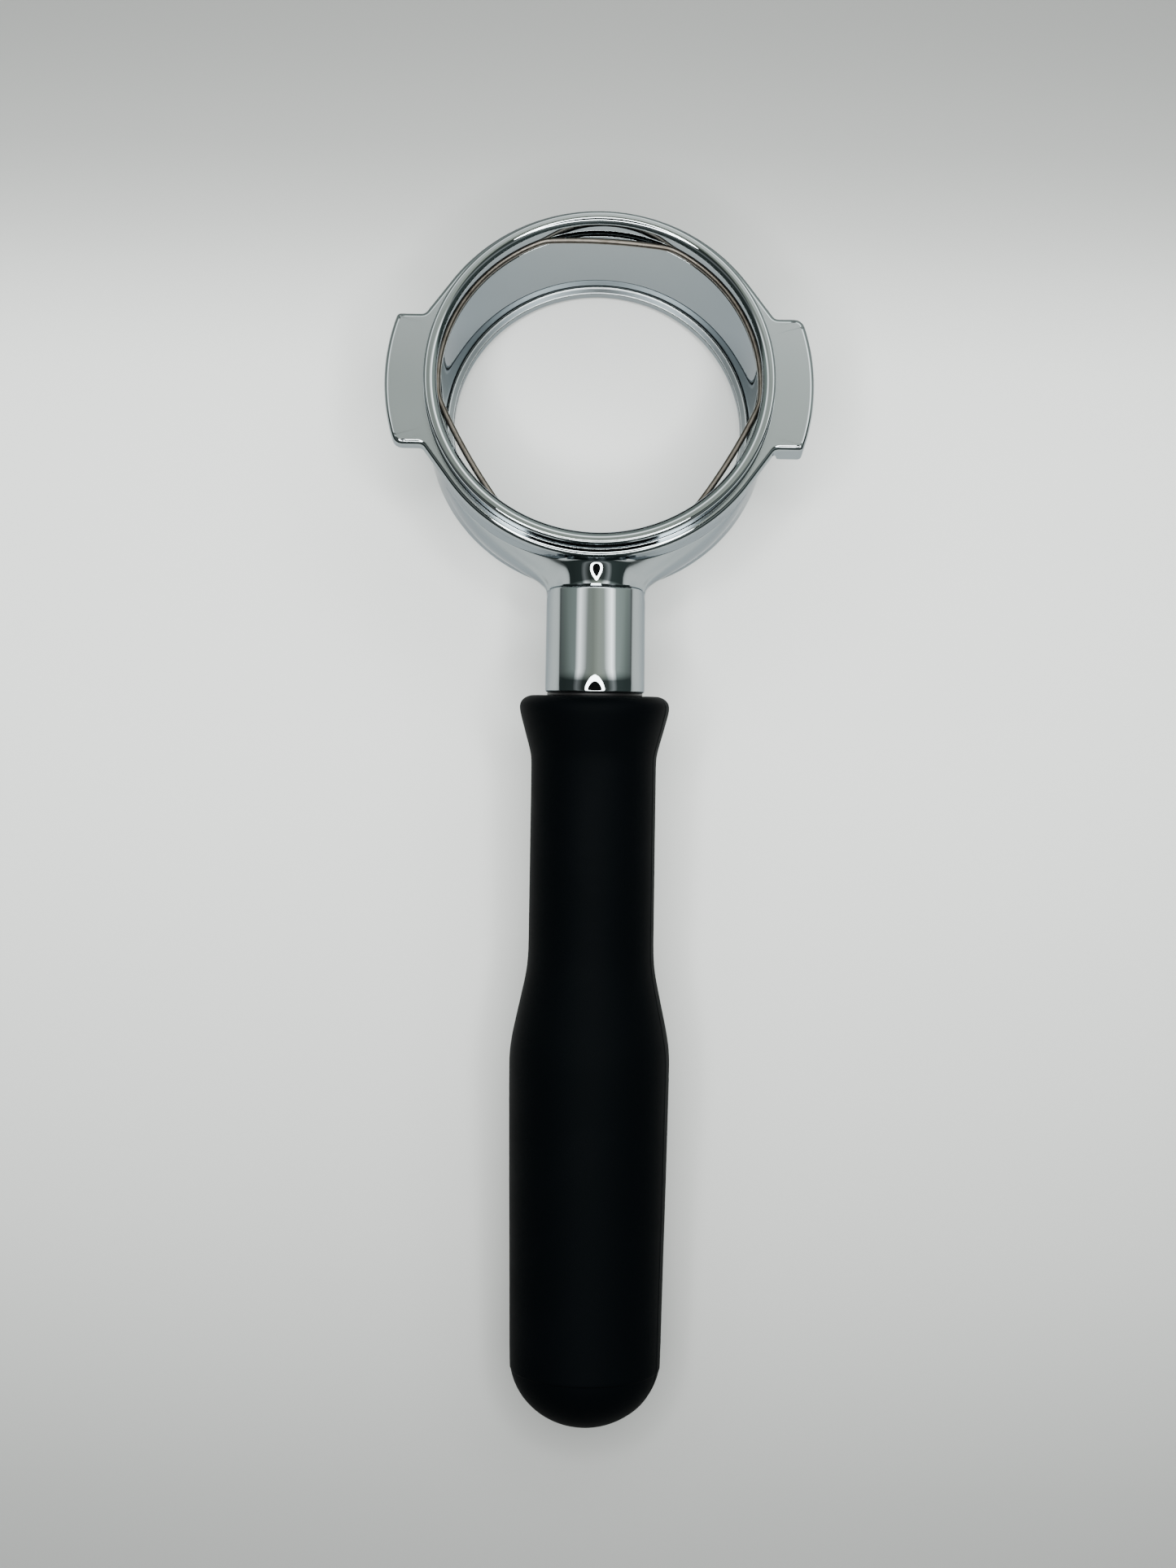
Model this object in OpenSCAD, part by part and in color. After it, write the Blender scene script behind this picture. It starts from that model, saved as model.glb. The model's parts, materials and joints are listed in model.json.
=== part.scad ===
// Bottomless 58 mm portafilter. Millimetres, +Z up along the bore,
// handle along -Y and falling, origin on the bore axis in the bottom plane
// of the barrel.

/* [Barrel] */
// Height of the barrel, bottom plane to rim
barrel_height = 31; // [27:0.5:36]
// Radius of the bore that takes the basket
bore_r = 30.5; // [30.2:0.1:31]
// Radius of the wider entry above the spring groove
entry_r = 31.1; // [30.6:0.1:31.4]
// Outer radius of the barrel wall
barrel_r = 34; // [33.5:0.1:34.6]
// Radius of the outlet opening in the bottom lip
outlet_r = 28.9; // [26:0.1:29.4]
// Thickness of the bottom lip
lip_height = 2; // [1.5:0.1:3]
// Fillet between the lip and the bore wall
lip_fillet = 1.1; // [0.5:0.1:1.4]
// Outer radius of the raised rim
rim_r = 33.6; // [33:0.1:34]
// Bevel on both edges of the rim
rim_bevel = 0.7; // [0.3:0.1:0.9]

/* [Flange and lugs] */
// Step from the rim down to the flange
rim_step = 3.1; // [2:0.1:4]
// Radius of the flange between the lugs
flange_r = 35.2; // [34.8:0.1:36]
// Thickness of the flange
flange_thickness = 3.4; // [3:0.1:5]
// Radius over the bayonet lugs
lug_r = 41.25; // [40.5:0.05:42]
// Half width of a lug
lug_half = 13.3; // [11:0.1:15]
// Lug thickness at its entering end
lug_thin = 3.4; // [3:0.1:4.5]
// Lug thickness at its stopping end
lug_thick = 6.4; // [5:0.1:7]
// Corner radius at the entering end
lug_lead_round = 2.2; // [1:0.1:3]
// Corner radius at the stopping end
lug_stop_round = 0.9; // [0.5:0.1:1.5]

/* [Neck] */
// Height of the neck axis above the bottom plane
axis_z = 12.6; // [11:0.1:14]
// Radius of the neck
neck_r = 9.6; // [9:0.1:11]
// Distance from the bore axis to the bend in the neck
bend_y = 56.8; // [55:0.1:66]
// Length of the neck beyond the bend
stub = 1; // [0.5:0.1:4]
// Angle by which the handle falls away from the bottom plane
tilt = 14; // [0:0.5:20]
// Height of the lowest line of the scoop between flange and neck
scoop_z = 21.2; // [20:0.1:21.6]
// Radius of the scoop in section
scoop_curve = 9.1; // [6:0.1:12]
// Distance from the bore axis to the lowest line of the scoop
scoop_centre = 38.4; // [37:0.1:38.6]
// Distance from the bore axis to the step up to the neck
scoop_end = 38.75; // [38.6:0.05:39.5]
// Top of the two side webs
web_top = 15.8; // [14:0.1:17]
// Sideways spread of the webs where they meet the barrel
web_spread = 21; // [15:0.5:22]

/* [Spring] */
// Wire diameter
wire_d = 1.2; // [1:0.05:1.5]
// Centreline radius of the arcs
spring_r = 31.1; // [31:0.05:31.25]
// Distance from the bore axis to the middle of each straight
chord_dist = 29.2; // [28.6:0.1:29.8]
// Half length of a straight
chord_half = 12.2; // [10:0.1:13]
// Outward bow of a straight
chord_bow = 0.6; // [0:0.1:0.8]
// Height of the groove centre above the bottom plane
groove_z = 26.5; // [23:0.1:27]
// Height of the groove
groove_height = 1.6; // [1.5:0.05:2]
// Radius at the bottom of the groove
groove_r = 31.9; // [31.85:0.05:32.1]

/* [Stud and insert] */
// Major radius of the stud
stud_r = 6; // [5:0.5:6]
// Radial clearance between the stud and the neck thread
thread_gap = 0.05; // [0.02:0.01:0.08]
// Depth of the threaded hole in the neck
hole_depth = 12.5; // [10:0.5:13]
// Length of the stud
stud_length = 41.5; // [35:0.5:50]
// Outer radius of the insert
insert_r = 9; // [8:0.1:9.5]
// Length of the insert
insert_length = 26; // [20:0.5:30]

/* [Handle] */
// Thickness of the neck washer
washer_thickness = 0.6; // [0.5:0.1:1]
// Outer radius of the neck washer
washer_r = 9.2; // [8.5:0.1:9.5]
// Radius of the front ring of the core
core_front_r = 11.2; // [10:0.1:12]
// Radius of the waist of the grip
waist_r = 12.06; // [11.5:0.02:13]
// Radius of the swell of the grip
swell_r = 15.54; // [14:0.02:17]
// Radius of the grip where its rounded end begins
tail_r = 14.7; // [13:0.1:16]
// Length of the rounded end
tail_length = 13.5; // [8:0.5:16]

/* [Hidden] */
$fn = 96;
eps = 0.01;
web_reach = [34.04, 34.1, 34.2, 34.35, 34.55, 34.8, 35.1, 35.5, 36, 36.8, 38, 41];
flange_top = barrel_height - rim_step;
flange_bottom = flange_top - flange_thickness;
root_x = sqrt(pow(flange_r + 1.1, 2) - pow(lug_half, 2));
root_turn = acos(flange_r / (flange_r + 1.1));
root_angle = atan2(lug_half, root_x);
hole_r = stud_r + thread_gap;
handle_start = stub + washer_thickness;
stud_start = stub - hole_depth + 1;
insert_start = handle_start + 6;
wire_steps = 116;
wire_sides = 16;
chord_angles = [87.2, 209.3, 329.7];
gap_half = 5.5;
tail_start = 128.8;

// Outer profile of the grip: [distance behind the washer, radius]
grip_profile = concat([
    [0, 11.2], [0, 12.1], [0.2, 12.9], [0.6, 13.6], [1.1, 14.1],
    [1.7, 14.36], [2.4, 14.4], [3.3, 14.3], [5.2, 13.83], [7.7, 13.15],
    [9.6, 12.62], [11, 12.28], [12.4, 12.1], [14.5, waist_r],
    [44, waist_r + 0.06], [48.5, waist_r + 0.08], [51.5, 12.28],
    [54.4, 12.66], [59.2, 13.66], [63.9, 14.67], [66.5, 15.15],
    [69, swell_r - 0.08], [72.5, swell_r], [83, swell_r - 0.12],
    [97.4, 15.21], [112, 14.96], [tail_start, tail_r]],
    [for (a = [9:9:90]) [tail_start + tail_length * sin(a), tail_r * cos(a)]]);

// Outer profile of the core under the skin
core_profile = [
    [0, 0], [0, 10.9], [0.3, 11.2], [2.5, 11.2], [2.5, 11.6], [4.5, 11.4],
    [11, 10.1], [15, 9.7], [49, 9.7], [54, 10.1], [63, 12.2], [69, 13.2],
    [83, 13.1], [112, 12.6], [128, 12.3], [133, 11.4], [137, 8.9],
    [139.6, 5], [140.2, 0]];

// Place children on the handle axis, a distance beyond the bend
module along_handle(distance) {
    translate([0, -bend_y, axis_z])
        rotate([90 + tilt, 0, 0])
            translate([0, 0, distance])
                children();
}

// One side of the mitre plane of the bend
module mitre_cut(outer) {
    translate([0, -bend_y, axis_z])
        rotate([tilt / 2, 0, 0])
            translate([-15, outer ? -30 : 0, -15])
                cube(30);
}

// Part of a lug corner that the rounding takes away
module corner_cut(r) {
    cy = lug_half - r;
    cx = sqrt(pow(lug_r - r, 2) - cy * cy);
    k = 1.05 * lug_r / (lug_r - r);
    difference() {
        polygon([[cx, cy], [cx, lug_half + 1], [lug_r + 1, lug_half + 1],
                 [cx * k, cy * k]]);
        translate([cx, cy])
            circle(r = r);
    }
}

// Plan of the right-hand lug
module lug_plan() {
    difference() {
        intersection() {
            circle(r = lug_r, $fn = 192);
            translate([barrel_r - 1.5, -lug_half])
                square([lug_r, 2 * lug_half]);
        }
        corner_cut(lug_lead_round);
        mirror([0, 1])
            corner_cut(lug_stop_round);
    }
}

// One lug with its sloping underside
module lug() {
    intersection() {
        translate([0, 0, flange_top - lug_thick - 1])
            linear_extrude(lug_thick + 1)
                lug_plan();
        rotate([90, 0, 90])
            linear_extrude(lug_r + 1)
                polygon([[-lug_half - 1, flange_top],
                         [-lug_half - 1, flange_top - lug_thick],
                         [-lug_half * 0.55, flange_top - lug_thick],
                         [lug_half * 0.7, flange_top - lug_thin],
                         [lug_half + 1, flange_top - lug_thin],
                         [lug_half + 1, flange_top]]);
    }
}

// Plan of the flange: a circle drawn out towards the lug roots
module flange_plan() {
    circle(r = flange_r, $fn = 192);
    for (side = [0, 1])
        mirror([side, 0])
            polygon([[0, 0],
                     [flange_r * cos(root_angle + root_turn), -flange_r * sin(root_angle + root_turn)],
                     [root_x, -lug_half],
                     [root_x, lug_half],
                     [flange_r * cos(root_angle + root_turn), flange_r * sin(root_angle + root_turn)]]);
}

// Cross-section of the barrel wall
module barrel_section() {
    difference() {
        translate([outlet_r, 0])
            square([barrel_r - outlet_r, flange_top]);
        translate([outlet_r - 1, lip_height + lip_fillet])
            square([bore_r - outlet_r + 1, barrel_height]);
        translate([outlet_r - 1, lip_height])
            square([bore_r - lip_fillet - outlet_r + 1, barrel_height]);
        translate([bore_r - lip_fillet, lip_height + lip_fillet])
            circle(r = lip_fillet);
        polygon([[barrel_r - 0.8, -eps], [barrel_r + eps, -eps], [barrel_r + eps, 0.8]]);
    }
}

// Cross-section of the raised rim
module rim_section() {
    polygon([[bore_r, flange_bottom],
             [bore_r, barrel_height],
             [rim_r - rim_bevel, barrel_height],
             [rim_r, barrel_height - rim_bevel],
             [rim_r, flange_bottom]]);
}

// Plan point on the edge of a web at one distance from the bore axis
function web_point(reach, side) =
    let (x = neck_r + web_spread * exp((barrel_r - reach) / 0.97))
        [side * x, -sqrt(reach * reach - x * x)];

// Neck, scoop and the two webs that spread onto the barrel
module neck() {
    difference() {
        union() {
            difference() {
                translate([0, 2 - barrel_r, axis_z])
                    rotate([90, 0, 0])
                        cylinder(r = neck_r, h = bend_y - barrel_r + 4);
                mitre_cut(true);
            }
            difference() {
                along_handle(-2)
                    cylinder(r = neck_r, h = stub + 2);
                mitre_cut(false);
            }
            translate([0, 0, axis_z - neck_r + 0.2])
                linear_extrude(web_top - axis_z + neck_r - 0.2)
                    polygon(concat([for (r = web_reach) web_point(r, -1)],
                                   [for (i = [len(web_reach) - 1:-1:0]) web_point(web_reach[i], 1)]));
        }
        rotate_extrude($fn = 192)
            intersection() {
                translate([barrel_r - 2, scoop_z])
                    square([scoop_end - barrel_r + 2, barrel_height]);
                translate([scoop_centre, scoop_z + scoop_curve])
                    circle(r = scoop_curve);
            }
        translate([0, 0, -1])
            cylinder(r = barrel_r - 1.5, h = barrel_height + 2, $fn = 192);
        along_handle(stub)
            cylinder(r = 2 * neck_r, h = 5);
    }
}

module filter_body() {
    color([0.83, 0.85, 0.86])
    difference() {
        union() {
            rotate_extrude($fn = 192)
                barrel_section();
            rotate_extrude($fn = 192)
                rim_section();
            translate([0, 0, flange_bottom])
                linear_extrude(flange_thickness)
                    flange_plan();
            lug();
            rotate([0, 0, 180])
                lug();
            neck();
        }
        translate([0, 0, lip_height + lip_fillet])
            cylinder(r = bore_r, h = barrel_height, $fn = 192);
        translate([0, 0, groove_z])
            cylinder(r = entry_r, h = barrel_height, $fn = 192);
        translate([0, 0, barrel_height - rim_bevel])
            cylinder(r1 = entry_r, r2 = entry_r + rim_bevel, h = rim_bevel, $fn = 192);
        translate([0, 0, -1])
            cylinder(r = outlet_r, h = barrel_height, $fn = 192);
        translate([0, 0, groove_z - groove_height / 2])
            cylinder(r = groove_r, h = groove_height, $fn = 192);
        along_handle(stub - hole_depth)
            cylinder(r = hole_r, h = hole_depth + 1);
        along_handle(stub - hole_depth - 2)
            cylinder(r1 = 0.4, r2 = hole_r, h = 2);
    }
}

// Distance from the bore axis to the wire in one direction
function wire_radius(t) =
    min(concat([spring_r],
               [for (a = chord_angles)
                   let (off = abs((t - a + 540) % 360 - 180),
                        along = chord_dist * tan(off) / chord_half)
                       off < 50 ? (chord_dist - chord_bow * along * along) / cos(off)
                                : spring_r]));

// Point on the wire, counted from the end beside the handle
function wire_point(i) =
    let (t = 270 + gap_half + (360 - 2 * gap_half) * i / wire_steps)
        wire_radius(t) * [cos(t), sin(t)];

// Unit normal of the wire in its own plane
function wire_normal(i) =
    let (d = wire_point(min(i + 1, wire_steps)) - wire_point(max(i - 1, 0)))
        [d[1], -d[0]] / norm(d);

// Wire ring with three straights, open at the handle side
module basket_spring() {
    n = wire_sides;
    last = wire_steps * n;
    color([0.45, 0.42, 0.38])
    translate([0, 0, groove_z])
        polyhedron(
            points = [for (i = [0:wire_steps])
                let (p = wire_point(i), side = wire_normal(i) * wire_d / 2)
                    for (k = [0:n - 1])
                        [p[0] + side[0] * cos(360 * k / n),
                         p[1] + side[1] * cos(360 * k / n),
                         wire_d / 2 * sin(360 * k / n)]],
            faces = concat(
                [[for (k = [n - 1:-1:0]) k]],
                [[for (k = [0:n - 1]) last + k]],
                [for (i = [0:wire_steps - 1], k = [0:n - 1])
                    [i * n + k, i * n + (k + 1) % n, (i + 1) * n + (k + 1) % n]],
                [for (i = [0:wire_steps - 1], k = [0:n - 1])
                    [i * n + k, (i + 1) * n + (k + 1) % n, (i + 1) * n + k]]));
}

module neck_washer() {
    color([0.08, 0.08, 0.08])
    along_handle(stub)
        difference() {
            cylinder(r = washer_r, h = washer_thickness);
            translate([0, 0, -1])
                cylinder(r = stud_r + 0.3, h = washer_thickness + 2);
        }
}

// Stud with bevelled ends
module handle_stud() {
    color([0.62, 0.63, 0.65])
    along_handle(stud_start) {
        cylinder(r1 = stud_r - 0.9, r2 = stud_r, h = 0.9);
        translate([0, 0, 0.9])
            cylinder(r = stud_r, h = stud_length - 1.8);
        translate([0, 0, stud_length - 0.9])
            cylinder(r1 = stud_r, r2 = stud_r - 0.9, h = 0.9);
    }
}

// Insert with a retaining groove, moulded into the core
module thread_insert() {
    color([0.72, 0.58, 0.3])
    along_handle(insert_start)
        rotate_extrude()
            polygon([[stud_r, 0], [insert_r - 0.5, 0], [insert_r, 0.5],
                     [insert_r, 10], [insert_r - 1.2, 11], [insert_r - 1.2, 15],
                     [insert_r, 16], [insert_r, insert_length - 0.5],
                     [insert_r - 0.5, insert_length], [stud_r, insert_length]]);
}

module handle_core() {
    color([0.1, 0.1, 0.1])
    difference() {
        along_handle(handle_start)
            rotate_extrude()
                polygon([for (p = core_profile) [p[1], p[0]]]);
        along_handle(handle_start - 1)
            cylinder(r = stud_r + 0.3, h = insert_start - handle_start + 1 + eps);
        along_handle(insert_start)
            rotate_extrude()
                polygon([[0, 0], [insert_r - 0.5, 0], [insert_r, 0.5],
                         [insert_r, 10], [insert_r - 1.2, 11], [insert_r - 1.2, 15],
                         [insert_r, 16], [insert_r, insert_length - 0.5],
                         [insert_r - 0.5, insert_length], [0, insert_length]]);
    }
}

module grip_skin() {
    color([0.05, 0.05, 0.05])
    along_handle(handle_start)
        rotate_extrude()
            difference() {
                polygon([for (p = concat([[0, 0]], grip_profile)) [p[1], p[0]]]);
                polygon([for (p = core_profile) [p[1], p[0]]]);
            }
}

filter_body();
basket_spring();
neck_washer();
handle_stud();
thread_insert();
handle_core();
grip_skin();
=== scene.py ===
import json
import math

import bmesh
import bpy
from mathutils import Matrix, Vector

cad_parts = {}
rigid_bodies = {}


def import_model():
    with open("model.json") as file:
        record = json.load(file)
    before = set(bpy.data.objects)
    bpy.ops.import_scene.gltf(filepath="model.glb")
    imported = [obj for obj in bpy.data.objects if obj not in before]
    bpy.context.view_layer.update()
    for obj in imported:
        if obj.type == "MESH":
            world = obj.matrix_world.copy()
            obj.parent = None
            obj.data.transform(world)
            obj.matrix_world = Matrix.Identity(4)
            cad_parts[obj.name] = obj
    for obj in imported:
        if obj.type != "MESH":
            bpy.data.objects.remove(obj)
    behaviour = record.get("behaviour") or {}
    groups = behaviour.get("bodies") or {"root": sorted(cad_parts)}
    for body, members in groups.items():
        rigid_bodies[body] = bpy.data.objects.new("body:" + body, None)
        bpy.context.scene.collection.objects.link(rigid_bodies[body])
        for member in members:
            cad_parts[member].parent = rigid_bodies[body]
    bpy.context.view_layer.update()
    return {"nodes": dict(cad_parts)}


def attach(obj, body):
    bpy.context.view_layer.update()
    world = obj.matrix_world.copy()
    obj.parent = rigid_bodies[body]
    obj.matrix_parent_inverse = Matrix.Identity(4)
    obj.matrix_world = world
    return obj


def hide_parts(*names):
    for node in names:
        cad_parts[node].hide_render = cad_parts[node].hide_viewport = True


for leftover in list(bpy.data.objects):
    bpy.data.objects.remove(leftover)
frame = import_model()
mm = 0.001


# Adds a mesh given in millimetres.
def meshObject(name, points, faces, smooth=True):
    mesh = bpy.data.meshes.new(name)
    mesh.from_pydata([[c * mm for c in p] for p in points], [], faces)
    bm = bmesh.new()
    bm.from_mesh(mesh)
    bmesh.ops.remove_doubles(bm, verts=bm.verts, dist=1e-7)
    bmesh.ops.recalc_face_normals(bm, faces=bm.faces)
    for face in bm.faces:
        face.smooth = smooth
    bm.to_mesh(mesh)
    bm.free()
    obj = bpy.data.objects.new(name, mesh)
    bpy.context.scene.collection.objects.link(obj)
    return obj


# Turns (x, y, radius) corners into a polyline with round corners, and a guard point beside each flat.
def filletPath(corners, closed=True, guard=0.05):
    path = []
    count = len(corners)
    for i in range(count):
        here = Vector(corners[i][:2])
        if not closed and i in (0, count - 1):
            path.append(tuple(here))
            continue
        before = Vector(corners[i - 1][:2]) - here
        after = Vector(corners[(i + 1) % count][:2]) - here
        radius = corners[i][2]
        half = before.angle(after) / 2
        if radius <= 0 or half > math.pi / 2 - 1e-3:
            path.append(tuple(here))
            continue
        back = radius / math.tan(half)
        start = here + before.normalized() * back
        stop = here + after.normalized() * back
        centre = here + (before.normalized() + after.normalized()).normalized() * radius / math.sin(half)
        turn = (start - centre).angle_signed(stop - centre)
        steps = max(3, int(math.degrees(abs(turn)) / 15))
        path.append(tuple(start + before.normalized() * min(guard, radius * 0.3)))
        for k in range(steps + 1):
            spoke = (start - centre).copy()
            spoke.rotate(Matrix.Rotation(-turn * k / steps, 2))
            path.append(tuple(centre + spoke))
        path.append(tuple(stop + after.normalized() * min(guard, radius * 0.3)))
    return path


# Quads of a grid of points stored row by row.
def gridFaces(rows, columns, closeRows=False, closeColumns=True):
    faces = []
    for r in range(rows if closeRows else rows - 1):
        for c in range(columns if closeColumns else columns - 1):
            up = (r + 1) % rows
            on = (c + 1) % columns
            faces.append((r * columns + c, r * columns + on, up * columns + on, up * columns + c))
    return faces


# Smooth step from 0 to 1.
def rise(value, low, high):
    t = min(1.0, max(0.0, (value - low) / (high - low)))
    return t * t * (3 - 2 * t)


# Adds a node, sets its properties, and links or sets its inputs.
def nodeIn(tree, kind, inputs=None, **settings):
    node = tree.nodes.new(kind)
    for key, value in settings.items():
        setattr(node, key, value)
    for key, value in (inputs or {}).items():
        if isinstance(value, bpy.types.NodeSocket):
            tree.links.new(value, node.inputs[key])
        else:
            node.inputs[key].default_value = value
    return node


def mathIn(tree, operation, a, b=0.0, c=0.0):
    node = nodeIn(tree, "ShaderNodeMath", {0: a, 1: b, 2: c}, operation=operation)
    return node.outputs[0]


# Adds a named socket to a group and returns its identifier.
def socketIn(group, name, kind="NodeSocketFloat", value=None, out=False):
    socket = group.interface.new_socket(name, in_out="OUTPUT" if out else "INPUT", socket_type=kind)
    if value is not None:
        socket.default_value = value
    return socket.identifier


# An empty geometry group whose sizes are named inputs.
def geometryGroup(name, sizes):
    group = bpy.data.node_groups.new(name, "GeometryNodeTree")
    socketIn(group, "Geometry", "NodeSocketGeometry")
    for label, value in sizes.items():
        socketIn(group, label, "NodeSocketFloat", value)
    socketIn(group, "Material", "NodeSocketMaterial")
    socketIn(group, "Geometry", "NodeSocketGeometry", out=True)
    return group, group.nodes.new("NodeGroupInput"), group.nodes.new("NodeGroupOutput")


# Runs a geometry group on a mesh and keeps the result as plain mesh data.
def bakeGroup(name, group, sizes, material, base=None):
    obj = base or meshObject(name, [(0, 0, 0)], [])
    modifier = obj.modifiers.new(name, "NODES")
    modifier.node_group = group
    for item in group.interface.items_tree:
        if item.in_out == "INPUT" and item.name in sizes:
            modifier[item.identifier] = float(sizes[item.name])
        if item.in_out == "INPUT" and item.name == "Material":
            modifier[item.identifier] = material
    bpy.context.view_layer.update()
    evaluated = obj.evaluated_get(bpy.context.evaluated_depsgraph_get())
    mesh = bpy.data.meshes.new_from_object(evaluated)
    mesh.name = name
    obj.modifiers.remove(modifier)
    obj.data = mesh
    return obj


# Joins coincident points and turns every face outwards.
def closeMesh(obj):
    bm = bmesh.new()
    bm.from_mesh(obj.data)
    bmesh.ops.remove_doubles(bm, verts=bm.verts, dist=2e-6)
    bmesh.ops.dissolve_degenerate(bm, edges=bm.edges, dist=1e-7)
    bmesh.ops.recalc_face_normals(bm, faces=bm.faces)
    openEdges = sum(1 for e in bm.edges if len(e.link_faces) != 2)
    for face in bm.faces:
        face.smooth = True
    bm.to_mesh(obj.data)
    bm.free()
    print(obj.name, len(obj.data.polygons), "faces,", openEdges, "open edges")
    return obj


# Filter body, sizes in millimetres
barrel = {"height": 31.0, "bore": 30.5, "entry": 31.1, "wall": 34.0, "outlet": 28.9, "lip": 2.0,
          "lipFillet": 0.5, "rim": 33.6}
flange = {"top": 27.9, "thick": 3.4, "radius": 35.2, "edge": 0.85, "rootReach": 1.1, "rootFillet": 1.2}
lugs = {"radius": 41.25, "half": 13.3, "thick": 6.4, "lead": 2.1, "stop": 0.9, "rampShift": 0.55,
        "rampLength": 1.25}
groove = {"z": 26.5, "height": 1.6, "radius": 31.9}


# Plan of flange and lugs as a loop of points.
def flangeOutline():
    half, reach = lugs["half"], lugs["radius"]
    cornerX = math.sqrt(reach**2 - half**2)
    rootR = flange["radius"] + flange["rootReach"]
    rootX = math.sqrt(rootR**2 - half**2)
    tip = math.degrees(math.asin(half / reach))
    tangent = math.degrees(math.atan2(half, rootX) + math.acos(flange["radius"] / rootR))
    side = [(rootX, -half, flange["rootFillet"]), (cornerX, -half, lugs["stop"])]
    arcFrom, arcTo = -tip + 3, tip - 3.6
    steps = 34  # points along the outer edge of a lug
    for k in range(steps + 1):
        a = math.radians(arcFrom + (arcTo - arcFrom) * k / steps)
        side.append((reach * math.cos(a), reach * math.sin(a), 0))
    side += [(cornerX, half, lugs["lead"]), (rootX, half, flange["rootFillet"])]
    steps = 80  # points along the flange between the lugs
    for k in range(steps + 1):
        a = math.radians(tangent + (180 - 2 * tangent) * k / steps)
        side.append((flange["radius"] * math.cos(a), flange["radius"] * math.sin(a), 0))
    corners = side + [(-x, -y, r) for x, y, r in side]
    loop = []
    path = filletPath(corners, guard=0.08)
    for i, here in enumerate(path):
        there = path[(i + 1) % len(path)]
        gap = math.dist(here, there)
        pieces = max(1, math.ceil(gap / 0.8))
        for k in range(pieces):
            loop.append(Vector(here).lerp(Vector(there), k / pieces))
    return loop


# Thickness of flange or lug at an outline point.
def lugDepth(point):
    x, y = (point.x, point.y) if point.x > 0 else (-point.x, -point.y)
    done = min(1, max(0, (y / lugs["half"] + lugs["rampShift"]) / lugs["rampLength"]))
    ramp = lugs["thick"] - (lugs["thick"] - flange["thick"]) * done
    inLug = rise(x, 33.7, 34.6) * (1 - rise(abs(y), lugs["half"] + 0.05, lugs["half"] + 0.6))
    return flange["thick"] + (ramp - flange["thick"]) * inLug


# Barrel, rim, flange and lugs as one closed grid: outline points by section points.
def ringMesh():
    low = flange["top"] - flange["thick"]
    top, edge = flange["top"], flange["edge"]
    beyond = 35.4  # guide radius outside the wall, left out of the section again
    guard = 0.07  # keeps the flats flat beside the rounded edges
    inner = filletPath(
        [(beyond, top, 0), (barrel["rim"], top, 0.15), (barrel["rim"], barrel["height"], 0.6),
         (barrel["entry"] + 0.85, barrel["height"], 1.3), (barrel["entry"], barrel["height"] - 0.75, 0.7),
         (barrel["entry"], groove["z"] + groove["height"] / 2, 0.12),
         (groove["radius"], groove["z"] + groove["height"] / 2, 0.15),
         (groove["radius"], groove["z"] - groove["height"] / 2, 0.15),
         (barrel["bore"], groove["z"] - groove["height"] / 2, 0.12),
         (barrel["bore"], barrel["lip"], barrel["lipFillet"]), (barrel["outlet"], barrel["lip"], 0.3),
         (barrel["outlet"], 0, 0.2), (barrel["wall"], 0, 0.8), (barrel["wall"], low, 0.2),
         (beyond, low, 0)],
        closed=False, guard=0.06,
    )[1:-1]
    loop = flangeOutline()
    count = len(loop)
    rows = []
    for i, here in enumerate(loop):
        along = (loop[(i + 1) % count] - loop[i - 1]).normalized()
        outward = Vector((along.y, -along.x))
        angle = math.atan2(here.y, here.x)
        drop = flange["thick"] - lugDepth(here)
        column = []
        for r, z in inner:
            shift = drop if z > low - 2 and r > barrel["wall"] - 0.01 and z < top - 1 else 0
            column.append((r * math.cos(angle), r * math.sin(angle), z + shift))
        bottom = low + drop
        for inset, z in ((edge + guard, bottom), (edge, bottom)):
            p = here - outward * inset
            column.append((p.x, p.y, z))
        for turn in (18, 36, 54, 72, 90):
            a = math.radians(turn)
            p = here - outward * edge * (1 - math.sin(a))
            column.append((p.x, p.y, bottom + edge * (1 - math.cos(a))))
        column.append((here.x, here.y, bottom + edge + guard))
        column.append((here.x, here.y, top - edge - guard))
        for turn in (0, 18, 36, 54, 72, 90):
            a = math.radians(turn)
            p = here - outward * edge * (1 - math.cos(a))
            column.append((p.x, p.y, top - edge * (1 - math.sin(a))))
        p = here - outward * (edge + guard)
        column.append((p.x, p.y, top))
        rows.append(column)
    depth = len(rows[0])
    return [p for column in rows for p in column], gridFaces(count, depth, closeRows=True)


neck = {"axisZ": 12.6, "radius": 9.6, "bend": 56.8, "stub": 1.0, "tilt": math.radians(14), "hole": 6.05,
        "holeDepth": 12.5, "endRound": 0.45, "sectionZ": 10.5, "inside": 33.3}
scoop = {"low": 21.2, "curve": 9.1, "centre": 39.1, "edge": 38.75, "crown": 6.6, "lipRise": 1.6,
         "lipFade": 0.12, "shoulder": 0.9, "shoulderDepth": 0.7}
web = {"half": 9.6, "flare": 21, "flareFade": 0.97, "top": 10.0, "under": 7.1, "foot": 2.2, "footFade": 0.4,
       "squareness": 2.5, "topEase": 1.1}


# A point beyond the bend: distance along the falling handle axis, then sideways and up from it.
def alongHandle(distance, side, up):
    c, s = math.cos(neck["tilt"]), math.sin(neck["tilt"])
    return side, -neck["bend"] - distance * c - up * s, neck["axisZ"] - distance * s + up * c


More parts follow.
